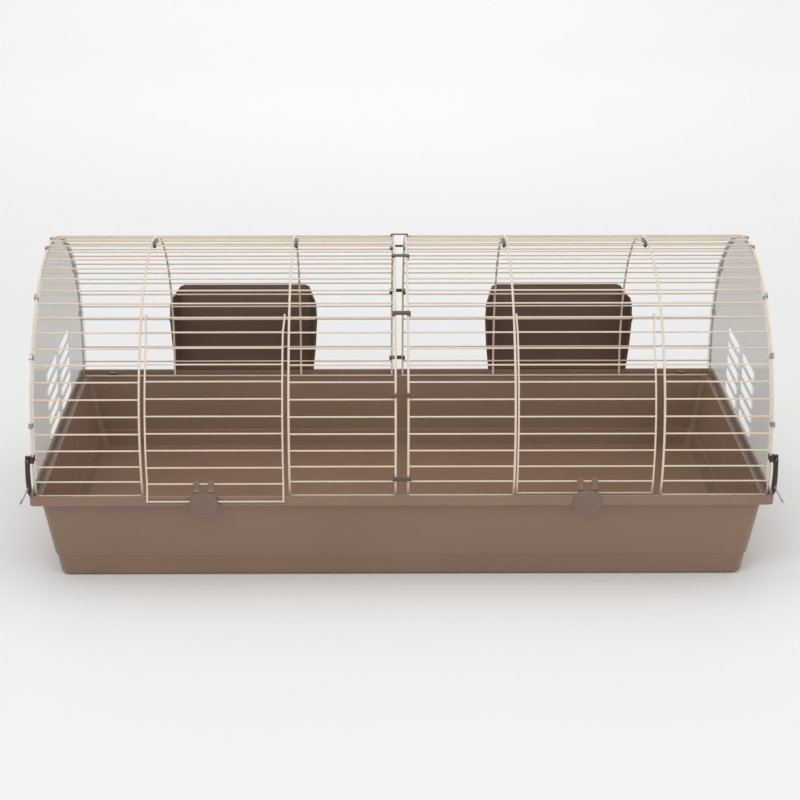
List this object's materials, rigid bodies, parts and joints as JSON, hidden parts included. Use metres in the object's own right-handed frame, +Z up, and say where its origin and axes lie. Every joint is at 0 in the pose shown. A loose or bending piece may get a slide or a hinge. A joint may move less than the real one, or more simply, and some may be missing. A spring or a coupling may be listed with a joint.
{
  "type": "wire rabbit cage",
  "caption": "Long barrel-top small-animal cage: coated wire canopy with two front doors, clear vented end panels and outside hay racks on a deep plastic tray.",
  "frame": {"origin": "on the floor under the centre of the whole cage's bounding box", "axes": "+X along the length to the right end, -Y to the front with the doors, +Z up"},
  "size_m": [1.2096, 0.6514, 0.4842],
  "materials": {
    "tray_plastic": "satin moulded",
    "coated_wire": "gloss coating",
    "clear_panel": "clear gloss",
    "clip_steel": "zinc plated",
    "clip_brown": "satin moulded",
    "latch_plastic": "satin moulded",
    "lever_plastic": "satin moulded",
    "rack_plastic": "satin moulded"
  },
  "bodies": {
    "tray": {"tray": "tray_plastic"},
    "wire_top": {"wire_front_left": "coated_wire", "wire_front_right": "coated_wire", "wire_back_left": "coated_wire", "wire_back_right": "coated_wire", "end_panel_left": "clear_panel", "end_panel_right": "clear_panel", "end_clip_left_front_1": "clip_steel", "end_clip_left_front_2": "clip_steel", "end_clip_left_front_3": "clip_steel", "end_clip_left_front_4": "clip_steel", "end_clip_left_back_1": "clip_steel", "end_clip_left_back_2": "clip_steel", "end_clip_left_back_3": "clip_steel", "end_clip_left_back_4": "clip_steel", "end_clip_right_front_1": "clip_steel", "end_clip_right_front_2": "clip_steel", "end_clip_right_front_3": "clip_steel", "end_clip_right_front_4": "clip_steel", "end_clip_right_back_1": "clip_steel", "end_clip_right_back_2": "clip_steel", "end_clip_right_back_3": "clip_steel", "end_clip_right_back_4": "clip_steel", "ridge_strap_left_in": "clip_brown", "ridge_strap_left_out": "clip_brown", "ridge_strap_right_in": "clip_brown", "ridge_strap_right_out": "clip_brown", "joiner_front_1": "clip_brown", "joiner_front_2": "clip_brown", "joiner_front_3": "clip_brown", "joiner_front_4": "clip_brown", "joiner_back_1": "clip_brown", "joiner_back_2": "clip_brown", "joiner_back_3": "clip_brown", "joiner_back_4": "clip_brown", "latch_bracket_left": "lever_plastic", "latch_bracket_right": "lever_plastic", "latch_pin_left": "clip_steel", "latch_pin_right": "clip_steel"},
    "door_left": {"door_left": "coated_wire"},
    "door_right": {"door_right": "coated_wire"},
    "door_latch_left": {"door_latch_left": "latch_plastic"},
    "door_latch_right": {"door_latch_right": "latch_plastic"},
    "latch_lever_left": {"latch_lever_left": "lever_plastic"},
    "latch_lever_right": {"latch_lever_right": "lever_plastic"},
    "latch_bail_left": {"latch_bail_left": "clip_steel"},
    "latch_bail_right": {"latch_bail_right": "clip_steel"},
    "hay_rack_left": {"hay_rack_left": "rack_plastic"},
    "hay_rack_right": {"hay_rack_right": "rack_plastic"}
  },
  "joints": [
    {"name": "wire_top_lift", "type": "slide", "parent": "tray", "child": "wire_top", "axis": [0, 0, 1], "range_m": [0, 0.2]},
    {"name": "door_left_swing", "type": "hinge", "parent": "wire_top", "child": "door_left", "pos_m": [-0.295, -0.21167, 0.41319], "axis": [-1, 0, 0], "range_deg": [0, 120]},
    {"name": "door_right_swing", "type": "hinge", "parent": "wire_top", "child": "door_right", "pos_m": [0.2905, -0.21167, 0.41319], "axis": [-1, 0, 0], "range_deg": [0, 120]},
    {"name": "door_latch_left_turn", "type": "hinge", "parent": "door_left", "child": "door_latch_left", "pos_m": [-0.313, -0.31275, 0.1701], "axis": [-1, 0, 0], "range_deg": [0, 90]},
    {"name": "door_latch_right_turn", "type": "hinge", "parent": "door_right", "child": "door_latch_right", "pos_m": [0.294, -0.30401, 0.16994], "axis": [-1, 0, 0], "range_deg": [0, 90]},
    {"name": "latch_lever_left_swing", "type": "hinge", "parent": "wire_top", "child": "latch_lever_left", "pos_m": [-0.5892, -0.30793, 0.21064], "axis": [0, 1, 0], "range_deg": [0, 75]},
    {"name": "latch_lever_right_swing", "type": "hinge", "parent": "wire_top", "child": "latch_lever_right", "pos_m": [0.5892, -0.30793, 0.21064], "axis": [0, -1, 0], "range_deg": [0, 75]},
    {"name": "latch_bail_left_swing", "type": "hinge", "parent": "latch_lever_left", "child": "latch_bail_left", "pos_m": [-0.5895, -0.30793, 0.165], "axis": [0, 1, 0], "range_deg": [0, 80]},
    {"name": "latch_bail_right_swing", "type": "hinge", "parent": "latch_lever_right", "child": "latch_bail_right", "pos_m": [0.5895, -0.30793, 0.165], "axis": [0, -1, 0], "range_deg": [0, 80]},
    {"name": "hay_rack_left_lift", "type": "slide", "parent": "wire_top", "child": "hay_rack_left", "axis": [0, 0, 1], "range_m": [0, 0.012]},
    {"name": "hay_rack_right_lift", "type": "slide", "parent": "wire_top", "child": "hay_rack_right", "axis": [0, 0, 1], "range_m": [0, 0.012]}
  ]
}
